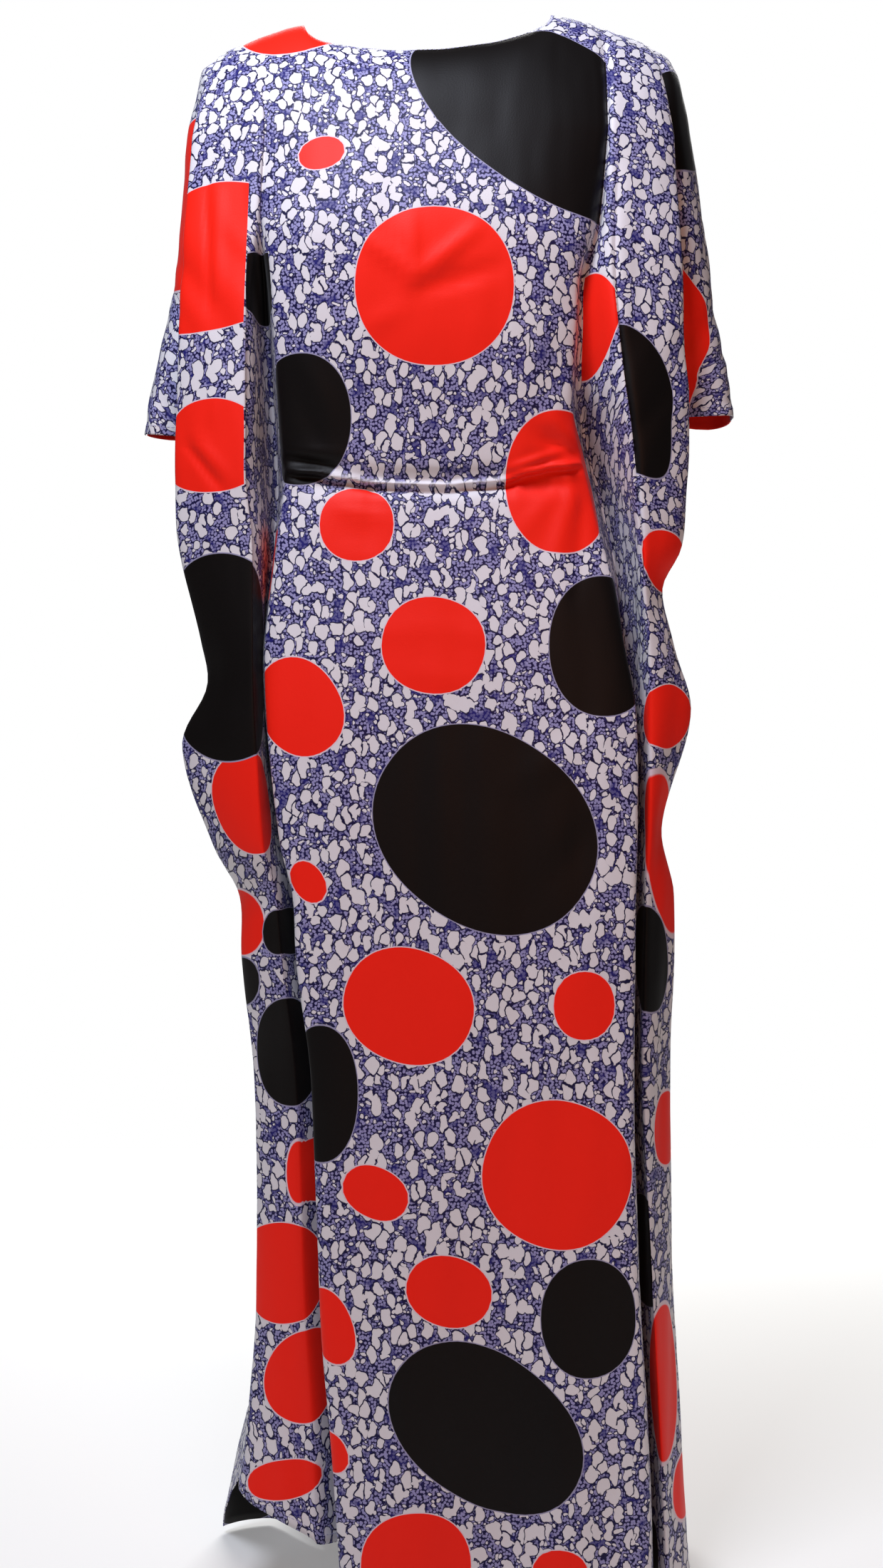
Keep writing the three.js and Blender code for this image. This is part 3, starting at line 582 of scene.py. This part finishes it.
# The print: large red and black spots over the pebbles. Each is an ellipse with a turn in
# degrees. In the folds its size is measured along the cloth, elsewhere straight across.
SPOT = "layer across height halfWidth halfHeight turn"
SPOTS = {
    ("front", "red"): table(
        SPOT,
        ("shoulder", -141, 1440, 45, 30, 0), ("middle", -107, 1302, 21, 15, 14),
        ("middle", -7, 1178, 70, 69, 0), ("strip", 136, 1150, 31, 45, 0),
        ("middle", 105, 1011, 49, 64, 0), ("middle", -76, 969, 33, 33, 0),
        ("middle", -2, 864, 46, 43, -10), ("middle", -130, 808, 37, 46, 32),
        ("middle", -117, 656, 14, 20, 35), ("middle", -27, 541, 58, 50, -20),
        ("middle", 127, 546, 27, 30, 0), ("middle", 100, 396, 66, 64, -20),
        ("middle", -58, 377, 30, 22, -25), ("middle", 5, 295, 38, 30, -20),
        ("middle", -99, 262, 20, 34, 22), ("middle", -95, 152, 12, 18, 22),
        ("middle", -22, 62, 48, 47, 0), ("middle", 106, 53, 24, 23, 0),
        ("face", -211, 1218, 95, 67, -14), ("face", -205, 1042, 50, 42, 0),
        ("wing", -170, 727, 36, 46, 22), ("behind", -226, 782, 18, 12, 0),
        ("fold", -153, 940, 34, 34, 0), ("sleeve", -240, 1283, 42, 82, 0),
        ("outside", -185, 612, 14, 30, 0), ("wing", -129, 391, 9, 28, 0),
        ("slit", -113, 391, 38, 29, 0), ("wing", -145, 294, 46, 45, 20),
        ("wing", -122, 207, 34, 43, -28), ("wing", -143, 110, 36, 17, 14),
        ("sleeve", 224, 1174, 31, 106, 0), ("wing", 203, 944, 20, 27, 0),
        ("wing", 204, 799, 26, 29, -25), ("wing", 201, 676, 13, 74, 12),
        ("wing", 204, 425, 12, 33, 0), ("wing", 200, 200, 17, 68, 0),
        ("wing", 218, 106, 9, 28, 0)),
    ("front", "black"): table(
        SPOT,
        ("middle", 92, 1346, 134, 78, -37), ("fold", -161, 1190, 66, 28, 0),
        ("middle", -125, 1063, 45, 57, 0), ("middle", 143, 865, 49, 63, 0),
        ("middle", 39, 698, 104, 84, -35), ("middle", -108, 466, 33, 60, 0),
        ("middle", 128, 269, 42, 51, 0), ("middle", 38, 175, 92, 62, -35),
        ("wing", -193, 858, 60, 94, 0), ("outside", -187, 560, 11, 22, 0),
        ("wing", -148, 606, 13, 20, 0), ("slit", -138, 606, 42, 21, 0),
        ("wing", -136, 500, 33, 49, 0), ("sleeve", 229, 1363, 26, 50, 0),
        ("face", 174, 1082, 38, 68, 0), ("wing", 184, 584, 21, 48, 6),
        ("slit", 184, 321, 60, 50, 0), ("slit", 192, 44, 26, 32, 0)),
    ("back", "red"): table(
        SPOT,
        ("middle", 84, 1292, 40, 36, 0), ("middle", 30, 1398, 24, 20, 0),
        ("middle", -104, 1168, 34, 40, 0), ("middle", 118, 1084, 40, 46, 0),
        ("middle", -40, 1012, 26, 24, 0), ("middle", -68, 884, 58, 56, 0),
        ("middle", 64, 824, 40, 38, 0), ("middle", 112, 690, 30, 40, 0),
        ("middle", -108, 600, 32, 36, 0), ("middle", 44, 556, 56, 52, 10),
        ("middle", 8, 392, 26, 24, 0), ("middle", -92, 318, 40, 38, 0),
        ("middle", -48, 170, 34, 30, 0), ("middle", 118, 128, 46, 44, 0),
        ("middle", 30, 56, 40, 38, 0), ("wing", -200, 1240, 44, 60, 0),
        ("wing", -200, 930, 40, 46, 0), ("wing", -164, 560, 24, 50, 0),
        ("wing", -160, 210, 28, 50, 0), ("wing", 196, 1100, 44, 50, 0),
        ("wing", 200, 770, 30, 44, 0), ("wing", 190, 380, 26, 44, 0),
        ("sleeve", 246, 1082, 50, 34, 0), ("sleeve", -246, 1290, 44, 60, 0),
        ("sleeve", -252, 1082, 60, 30, 0)),
    ("back", "black"): table(
        SPOT,
        ("middle", -52, 1318, 62, 60, 15), ("middle", 30, 1136, 50, 56, 0),
        ("middle", 78, 956, 34, 40, 0), ("middle", -20, 712, 78, 66, 28),
        ("middle", -70, 470, 44, 50, 0), ("middle", 124, 436, 40, 56, 0),
        ("middle", 40, 256, 84, 58, 24), ("middle", -100, 66, 50, 44, 0),
        ("wing", -204, 1080, 46, 62, 0), ("wing", -188, 740, 34, 56, 0),
        ("wing", -158, 400, 26, 46, 0), ("outside", -196, 26, 34, 26, 0),
        ("wing", 194, 1250, 40, 56, 0), ("wing", 196, 930, 34, 60, 0),
        ("wing", 190, 560, 28, 50, 0), ("wing", 198, 190, 28, 56, 0),
        ("sleeve", 240, 1330, 40, 40, 0)),
}

# Where the spots of a layer are centred, and where they show, by the number of the station that
# comes before a column. Those of a fold or a slit go on round the cloth that is folded away.
CENTRED_ON = {"middle": (0, 1, 2), "shoulder": (0, 1, 2), "fold": (3,), "strip": (4,),
              "slit": (4,), "face": (5,), "wing": (5,), "behind": (6,), "outside": (5, 6),
              "sleeve": (7, 8)}
SHOWS_ON = {"middle": (0, 1, 2, 3), "shoulder": tuple(range(9)), "fold": (3, 4), "strip": (4,),
            "slit": (3, 4), "face": (5, 6), "wing": (4, 5, 6), "behind": (6,), "outside": (5, 6),
            "sleeve": (7, 8)}
ALONG_THE_CLOTH = ("fold", "strip", "slit")
SPOT_SQUARENESS = 2.15
SPOT_STEP = 3           # rows and columns over which a spot's straight steps are measured
FAR_OUTSIDE = -60.0


def spot_frame(spot, places, cuts):
    """A spot's centre on the cut, and the step straight across and up for each step on the cut."""
    side = "left" if spot["across"] < 0 else "right"
    rows, cut = places[side], cuts[side]
    best = None
    for r, row in enumerate(rows[:-SPOT_STEP]):
        for c in range(1, len(rows[r + SPOT_STEP])):
            if half_columns[c][0] in CENTRED_ON[spot["layer"]]:
                away = abs(row[c].x - spot["across"]) + abs(row[c].z - spot["height"])
                if best is None or away < best[0]:
                    best = (away, r, c)
    _, r, c = best
    u, v = cut[r][c]
    if spot["layer"] in ALONG_THE_CLOTH:
        return SIGN[side] * u, v, (1, 0, 0, -1)
    beside = (r, c - 1 if c < SPOT_STEP else c - SPOT_STEP)
    below = (r + SPOT_STEP, c)
    (x1, z1, u1, v1), (x2, z2, u2, v2) = [
        (rows[a][b].x - rows[r][c].x, rows[a][b].z - rows[r][c].z,
         SIGN[side] * (cut[a][b][0] - u), cut[a][b][1] - v) for a, b in (beside, below)]
    area = u1 * v2 - u2 * v1
    return SIGN[side] * u, v, ((x1 * v2 - x2 * v1) / area, (x2 * u1 - x1 * u2) / area,
                               (z1 * v2 - z2 * v1) / area, (z2 * u1 - z1 * u2) / area)


def inside_spot(spot, centre_u, centre_v, steps, u, v):
    """How far a place on the cut lies inside a spot, in millimetres; negative outside it."""
    du, dv = u - centre_u, v - centre_v
    x, z = steps[0] * du + steps[1] * dv, steps[2] * du + steps[3] * dv
    turn = math.radians(spot["turn"])
    p = abs(x * math.cos(turn) + z * math.sin(turn)) / spot["halfWidth"]
    q = abs(z * math.cos(turn) - x * math.sin(turn)) / spot["halfHeight"]
    radius = (p ** SPOT_SQUARENESS + q ** SPOT_SQUARENESS) ** (1 / SPOT_SQUARENESS)
    return (1 - radius) * min(spot["halfWidth"], spot["halfHeight"])


CUT_FROM = {"front": 0, "back": 2.3}    # metres: the back is cut from another part of the cloth
CLOTH_THICKNESS = 0.0008


def lay_cloth(bm, panel, places, cuts):
    """Lays the grid on the panel's form and marks its spots. Returned is, for each vertex, its
    station and share, its place, its place on the cut, and its side, row and column."""
    sides = ("left", "right") if panel == "front" else ("right", "left")
    spots = {colour: [(spot, *spot_frame(spot, places, cuts)) for spot in SPOTS[panel, colour]]
             for colour in ("red", "black")}
    layers = {name: bm.verts.layers.float.new(name)
              for name in ("red_spot", "black_spot", "painted_highlight")}
    under_sleeve, laid = [], {}
    for vert in bm.verts:
        column = round((vert.co.x + 1) * LAST_COLUMN) - LAST_COLUMN
        r = round((1 - vert.co.y) / 2 * (ROWS - 1))
        side, c = sides[0] if column < 0 else sides[1], abs(column)
        if c >= len(places[side][r]):
            under_sleeve.append(vert)
            continue
        i, t = half_columns[c]
        place = places[side][r][c]
        u, v = SIGN[side] * cuts[side][r][c][0], cuts[side][r][c][1]
        laid[vert] = (i, t, place, u, v, side, r, c)
        for colour, coloured in spots.items():
            vert[layers[colour + "_spot"]] = max(
                [inside_spot(spot, *frame_of, u, v) for spot, *frame_of in coloured
                 if i in SHOWS_ON[spot["layer"]]] + [FAR_OUTSIDE])
        vert[layers["painted_highlight"]] = painted_highlight(panel, i, t, place)
        vert.co = Vector((place.x, place.y, place.z - SHOULDER_HEIGHT)) / 1000
    bmesh.ops.delete(bm, geom=under_sleeve, context="VERTS")
    return laid


def cloth_panel(panel, material):
    """One panel as a thin sheet: a grid laid on the panel's form, then worked in relief. Returned
    with it is the place and normal of each point of the grid, by side, row and column."""
    places, cuts = {}, {}
    for side in SIGN:
        places[side], cuts[side] = half_panel(panel, side)
    bm = bmesh.new()
    bmesh.ops.create_grid(bm, x_segments=2 * LAST_COLUMN, y_segments=ROWS - 1, size=1)
    cut_layer = bm.loops.layers.uv.new("cut")
    laid = lay_cloth(bm, panel, places, cuts)
    turned = turned_edges(places)
    bm.normal_update()
    outs = {}
    for vert, (i, t, place, u, v, *grid_place) in laid.items():
        out = relief(panel, i, t, place, u, v) + TURNED_RISE * turned.get(tuple(grid_place), 0)
        outs[vert] = vert.normal * out / 1000
        for loop in vert.link_loops:
            loop[cut_layer].uv = (u / 1000 + CUT_FROM[panel], v / 1000)
    for vert, out in outs.items():
        vert.co += out
    for face in bm.faces:
        face.smooth = True
    bm.normal_update()
    surface = {}
    for vert, (*_, side, r, c) in laid.items():
        surface[side, r, c] = (vert.co.copy(), vert.normal.copy())
        if c == 0:
            surface[OTHER[side], r, c] = surface[side, r, c]
    mesh = bpy.data.meshes.new(panel + "_cloth")
    bm.to_mesh(mesh)
    bm.free()
    cloth = bpy.data.objects.new(panel + "_cloth", mesh)
    bpy.context.collection.objects.link(cloth)
    mesh.materials.append(material)
    thickness = cloth.modifiers.new("cloth thickness", "SOLIDIFY")
    thickness.thickness = CLOTH_THICKNESS
    thickness.offset = 0
    return cloth, surface


# ---------------------------------------------------------------------------------------------
# The printed cotton. Light plain-woven cotton, piece-dyed white and screen-printed: pale pebbles
# in a lace of blue-violet dots, with red and black spots over them. Washed and pressed, it has a
# slight lustre, and the weave shows only as a fine tooth.
# ---------------------------------------------------------------------------------------------

def linear(hex_colour):
    """An sRGB hex colour as the linear colour that Blender's sockets take."""
    channels = [int(hex_colour[k:k + 2], 16) / 255 for k in (1, 3, 5)]
    return (*[c / 12.92 if c <= 0.04045 else ((c + 0.055) / 1.055) ** 2.4 for c in channels], 1.0)


def add_node(tree, kind, inputs=None, **settings):
    """Adds a node. An input is a value, or a socket of another node that is linked to it."""
    node = tree.nodes.new(kind)
    for name, value in settings.items():
        setattr(node, name, value)
    for name, value in (inputs or {}).items():
        if isinstance(value, bpy.types.NodeSocket):
            tree.links.new(value, node.inputs[name])
        else:
            node.inputs[name].default_value = value
    return node


# Each kind of pebble has the metres from one's middle to the next and, as shares of that, the
# least and the greatest radius; the last number is the share of them that is missing.
PEBBLES = {"large": (0.0172, 0.14, 0.34, 0.72), "middling": (0.0116, 0.26, 0.44, 0.10),
           "small": (0.0056, 0.16, 0.38, 0.60)}
PEBBLE_GAP = 0.06         # between neighbours that meet, as a share of their size
PEBBLE_SLANT = -0.55      # radians
PEBBLE_STRETCH = 0.62
DOT = 0.0027


def printed_cotton():
    material = bpy.data.materials.new("screen-printed plain-weave cotton")
    material.use_nodes = True
    tree = material.node_tree
    shader = tree.nodes["Principled BSDF"]

    def number(operation, a, b=None, c=None):
        inputs = {k: value for k, value in enumerate((a, b, c)) if value is not None}
        return add_node(tree, "ShaderNodeMath", inputs, operation=operation).outputs[0]

    def step(value, low, high):
        ramp = add_node(tree, "ShaderNodeMapRange", {"Value": value, "From Min": low,
                        "From Max": high}, interpolation_type="SMOOTHSTEP")
        return ramp.outputs["Result"]

    def blend(amount, a, b):
        return add_node(tree, "ShaderNodeMix", {0: amount, 6: a, 7: b},
                        data_type="RGBA").outputs[2]

    cut = add_node(tree, "ShaderNodeUVMap", uv_map="cut").outputs["UV"]

    # The printer's pebbles are uneven, so the cut is stirred before the cells are drawn.
    stirred = cut
    for scale, reach in ((75.0, 0.0052), (140.0, 0.0036), (420.0, 0.0008)):
        stir = add_node(tree, "ShaderNodeTexNoise", {"Vector": cut, "Scale": scale,
                        "Detail": 0.0}, noise_dimensions="2D").outputs["Color"]
        centred = add_node(tree, "ShaderNodeVectorMath", {0: stir, 1: (0.5, 0.5, 0.5)},
                           operation="SUBTRACT").outputs[0]
        scaled = add_node(tree, "ShaderNodeVectorMath", {0: centred, "Scale": reach},
                          operation="SCALE").outputs[0]
        stirred = add_node(tree, "ShaderNodeVectorMath", {0: stirred, 1: scaled},
                           operation="ADD").outputs[0]

    slanted = add_node(tree, "ShaderNodeMapping", {"Vector": stirred,
                       "Rotation": (0, 0, PEBBLE_SLANT), "Scale": (1.0, PEBBLE_STRETCH, 1.0)})
    slanted = slanted.outputs["Vector"]

    def cells(size, feature, place):
        return add_node(tree, "ShaderNodeTexVoronoi", {"Vector": place, "Scale": 1 / size,
                        "Randomness": 0.85}, voronoi_dimensions="2D", feature=feature)

    def pebbles(kind, place):
        """How far inside a pebble, in metres; each has its own size, and some are missing."""
        size, least, most, missing = PEBBLES[kind]
        middle = cells(size, "F1", place)
        chance = add_node(tree, "ShaderNodeSeparateColor", {"Color": middle.outputs["Color"]})
        radius = number("MULTIPLY_ADD", chance.outputs["Red"], most - least, least)
        inside = number("SUBTRACT", radius, middle.outputs["Distance"])
        to_edge = cells(size, "DISTANCE_TO_EDGE", place).outputs["Distance"]
        inside = number("MINIMUM", inside, number("SUBTRACT", to_edge, PEBBLE_GAP))
        gone = number("GREATER_THAN", missing, chance.outputs["Green"])
        return number("MULTIPLY", number("SUBTRACT", inside, gone), size)

    # Between the pebbles lies a lace of small light dots on dark ink, closed in places.
    dense = add_node(tree, "ShaderNodeTexNoise", {"Vector": cut, "Scale": 60.0, "Detail": 2.0},
                     noise_dimensions="2D").outputs["Fac"]
    solid_ink = step(dense, 0.54, 0.68)
    ground = blend(solid_ink, linear("#181542"), linear("#22206a"))
    dots = step(cells(DOT, "F1", cut).outputs["Distance"], 0.52, 0.37)
    shown = number("SUBTRACT", 1.0, number("MULTIPLY", solid_ink, 0.7))
    ground = blend(number("MULTIPLY", dots, shown), ground, linear("#9391be"))

    # Pebbles that touch run together, which gives the heart and bean shapes.
    inside = pebbles("large", stirred)
    inside = number("MAXIMUM", inside, pebbles("middling", slanted))
    inside = number("MAXIMUM", inside, pebbles("small", stirred))
    ground = blend(step(inside, -0.0011, -0.0007), ground, linear("#16133c"))
    ground = blend(step(inside, -0.0003, 0.0002), ground, linear("#dbd9dd"))

    red = add_node(tree, "ShaderNodeAttribute", attribute_name="red_spot").outputs["Fac"]
    black = add_node(tree, "ShaderNodeAttribute", attribute_name="black_spot").outputs["Fac"]
    for inside, colour, halo, reach in ((red, "#f6210f", "#dccbd4", 0.8),
                                        (black, "#080403", "#9a98b4", 0.6)):
        ground = blend(step(inside, -reach - 0.3, -reach), ground, linear(halo))
        ground = blend(step(inside, -0.25, 0.25), ground, linear(colour))
    # Painted highlight: off the spots, the crest of the waist tuck is painted near-white where
    # light catches it.
    tuck_highlight = add_node(tree, "ShaderNodeAttribute", attribute_name="painted_highlight").outputs["Fac"]
    plain = number("SUBTRACT", 0.85, step(number("MAXIMUM", red, black), -1.0, 0.0))
    ground = blend(number("MULTIPLY", tuck_highlight, plain), ground, linear("#f0f0f6"))
    tree.links.new(ground, shader.inputs["Base Color"])

    # A thread spacing of 0.35 mm would be too fine to show, so the tooth is drawn at 1.4 mm.
    tooth = add_node(tree, "ShaderNodeTexNoise", {"Vector": cut, "Scale": 700.0, "Detail": 2.0},
                     noise_dimensions="2D").outputs["Fac"]
    bump = add_node(tree, "ShaderNodeBump", {"Height": tooth, "Strength": 0.12,
                    "Distance": 0.0006})
    tree.links.new(bump.outputs["Normal"], shader.inputs["Normal"])
    shader.inputs["Roughness"].default_value = 0.52
    shader.inputs["IOR"].default_value = 1.47
    shader.inputs["Specular IOR Level"].default_value = 0.2
    shader.inputs["Sheen Weight"].default_value = 0.04
    shader.inputs["Sheen Roughness"].default_value = 0.4
    return material


cotton = printed_cotton()
panels, surfaces = {}, {}
for panel in ("front", "back"):
    panels[panel], surfaces[panel] = cloth_panel(panel, cotton)
    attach(panels[panel], "root")
    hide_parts(panel)


# ---------------------------------------------------------------------------------------------
# The stitching. One line of lockstitch in pale cotton thread holds down each turned edge, at the
# neck, the sleeve openings and the hem. Real stitches are 2.5 mm long in thread 0.25 mm thick.
# ---------------------------------------------------------------------------------------------

STITCH_FROM_EDGE = 0.008
STITCH_LENGTH = 0.0031    # a little longer and thicker than real, so that they show
STITCH_WIDTH = 0.0007
STITCH_PITCH = 0.0042


def sewing_line(edge, surface, side):
    """Places and normals along an edge, at the stitching's distance from it."""
    line = []
    for c in range(edge["firstColumn"], edge["lastColumn"] + 1):
        r, left = edge["row"], STITCH_FROM_EDGE
        while True:
            (here, up), (there, next_up) = surface[side, r, c], surface[side, r + edge["step"], c]
            length = (there - here).length
            if length >= left:
                break
            left -= length
            r += edge["step"]
        line.append((here.lerp(there, left / length), up.lerp(next_up, left / length)))
    return line


def sew(bm, line):
    """A row of stitches, each a slim grain of thread sunk at both ends."""
    walked, due = 0.0, STITCH_PITCH / 2
    for (start, up), (end, _) in zip(line, line[1:]):
        length = (end - start).length
        ahead = (end - start) / length
        across = up.cross(ahead).normalized()
        while due < walked + length:
            axes = (across * STITCH_WIDTH / 2, ahead.cross(across) * STITCH_WIDTH / 2,
                    ahead * STITCH_LENGTH / 2)
            matrix = Matrix(axes).transposed().to_4x4()
            matrix.translation = (start + ahead * (due - walked)
                                  + up.normalized() * CLOTH_THICKNESS / 2)
            bmesh.ops.create_uvsphere(bm, u_segments=6, v_segments=5, radius=1, matrix=matrix)
            due += STITCH_PITCH
        walked += length


def sewing_thread():
    """Pale blue-white cotton, twisted from two strands, and a little darker where it is worn."""
    material = bpy.data.materials.new("pale twisted cotton thread")
    material.use_nodes = True
    tree = material.node_tree
    shader = tree.nodes["Principled BSDF"]
    place = add_node(tree, "ShaderNodeTexCoord").outputs["Object"]
    worn = add_node(tree, "ShaderNodeTexNoise", {"Vector": place, "Scale": 90.0}).outputs["Fac"]
    colour = add_node(tree, "ShaderNodeMix", {0: worn, 6: linear("#8f8db9"),
                      7: linear("#c3c2d6")}, data_type="RGBA").outputs[2]
    tree.links.new(colour, shader.inputs["Base Color"])
    twist = add_node(tree, "ShaderNodeTexNoise", {"Vector": place, "Scale": 2400.0}).outputs["Fac"]
    bump = add_node(tree, "ShaderNodeBump", {"Height": twist, "Strength": 0.4, "Distance": 0.0002})
    tree.links.new(bump.outputs["Normal"], shader.inputs["Normal"])
    shader.inputs["Roughness"].default_value = 0.6
    shader.inputs["Specular IOR Level"].default_value = 0.3
    return material


thread = sewing_thread()
for panel, surface in surfaces.items():
    mesh = bpy.data.meshes.new(panel + "_stitching")
    for edge in EDGES:
        for side in SIGN:
            bm = bmesh.new()
            sew(bm, sewing_line(edge, surface, side))
            bm.from_mesh(mesh)
            for face in bm.faces:
                face.smooth = True
            bm.to_mesh(mesh)
            bm.free()
    stitching = bpy.data.objects.new(panel + "_stitching", mesh)
    bpy.context.collection.objects.link(stitching)
    mesh.materials.append(thread)
    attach(stitching, "root")


# ---------------------------------------------------------------------------------------------
# The studio. A plain pale floor, soft daylight from the upper left, a warmer, weaker light from
# the right, and one that whitens the floor behind. The camera stands level, three quarters of a
# metre above the floor.
# ---------------------------------------------------------------------------------------------

FLOOR_SIZE = 4.6
bm = bmesh.new()
bmesh.ops.create_grid(bm, x_segments=1, y_segments=1, size=FLOOR_SIZE / 2)
bmesh.ops.translate(bm, verts=bm.verts, vec=(0, 0, -SHOULDER_HEIGHT / 1000))
floor_mesh = bpy.data.meshes.new("floor")
bm.to_mesh(floor_mesh)
bm.free()
floor = bpy.data.objects.new("floor", floor_mesh)
bpy.context.collection.objects.link(floor)
paint = bpy.data.materials.new("pale matt paint")
paint.use_nodes = True
coat = paint.node_tree.nodes["Principled BSDF"]
coat.inputs["Base Color"].default_value = linear("#d2d2d0")
coat.inputs["Roughness"].default_value = 0.9
coat.inputs["Specular IOR Level"].default_value = 0.2
coat.inputs["Emission Color"].default_value = linear("#ffffff")
coat.inputs["Emission Strength"].default_value = 0.25
floor_mesh.materials.append(paint)


def soft_light(name, place, target, size, power, colour):
    light = bpy.data.lights.new(name, "AREA")
    light.size = size
    light.energy = power
    light.color = linear(colour)[:3]
    lamp = bpy.data.objects.new(name, light)
    lamp.location = place
    lamp.rotation_euler = (Vector(target) - Vector(place)).to_track_quat("-Z", "Y").to_euler()
    bpy.context.collection.objects.link(lamp)


soft_light("daylight", (-0.38, -0.93, 0.85), (0, 0, -0.3), 0.6, 32.5, "#e9efff")
soft_light("lamp", (0.5, -2.0, -0.1), (0, 0, -0.9), 0.7, 6.6, "#ff9040")
soft_light("behind", (0.1, 2.4, 0.9), (0, 1.8, -1.4), 2.0, 105, "#ffffff")

SKY_LIGHT = 0.045
BACKDROP_WHITE = 1.0
world = bpy.data.worlds.new("studio")
world.use_nodes = True
backdrop = world.node_tree.nodes["Background"]
backdrop.inputs["Color"].default_value = linear("#ffffff")
sight = add_node(world.node_tree, "ShaderNodeLightPath").outputs["Is Camera Ray"]
glow = add_node(world.node_tree, "ShaderNodeMapRange", {"Value": sight, "To Min": SKY_LIGHT,
                "To Max": BACKDROP_WHITE})
world.node_tree.links.new(glow.outputs["Result"], backdrop.inputs["Strength"])
bpy.context.scene.world = world
bpy.context.scene.view_settings.view_transform = "Standard"

CAMERA_DISTANCE = 2.0
CAMERA_HEIGHT = 0.74
FRAME_HEIGHT = 1.4766     # the height in view at the arms
SENSOR = 36
camera_data = bpy.data.cameras.new("camera")
camera_data.sensor_fit = "VERTICAL"
camera_data.sensor_height = SENSOR
camera_data.lens = SENSOR * CAMERA_DISTANCE / FRAME_HEIGHT
camera = bpy.data.objects.new("camera", camera_data)
camera.location = (0, -CAMERA_DISTANCE, CAMERA_HEIGHT - SHOULDER_HEIGHT / 1000)
camera.rotation_euler = (math.radians(90), 0, 0)
bpy.context.collection.objects.link(camera)
bpy.context.scene.camera = camera
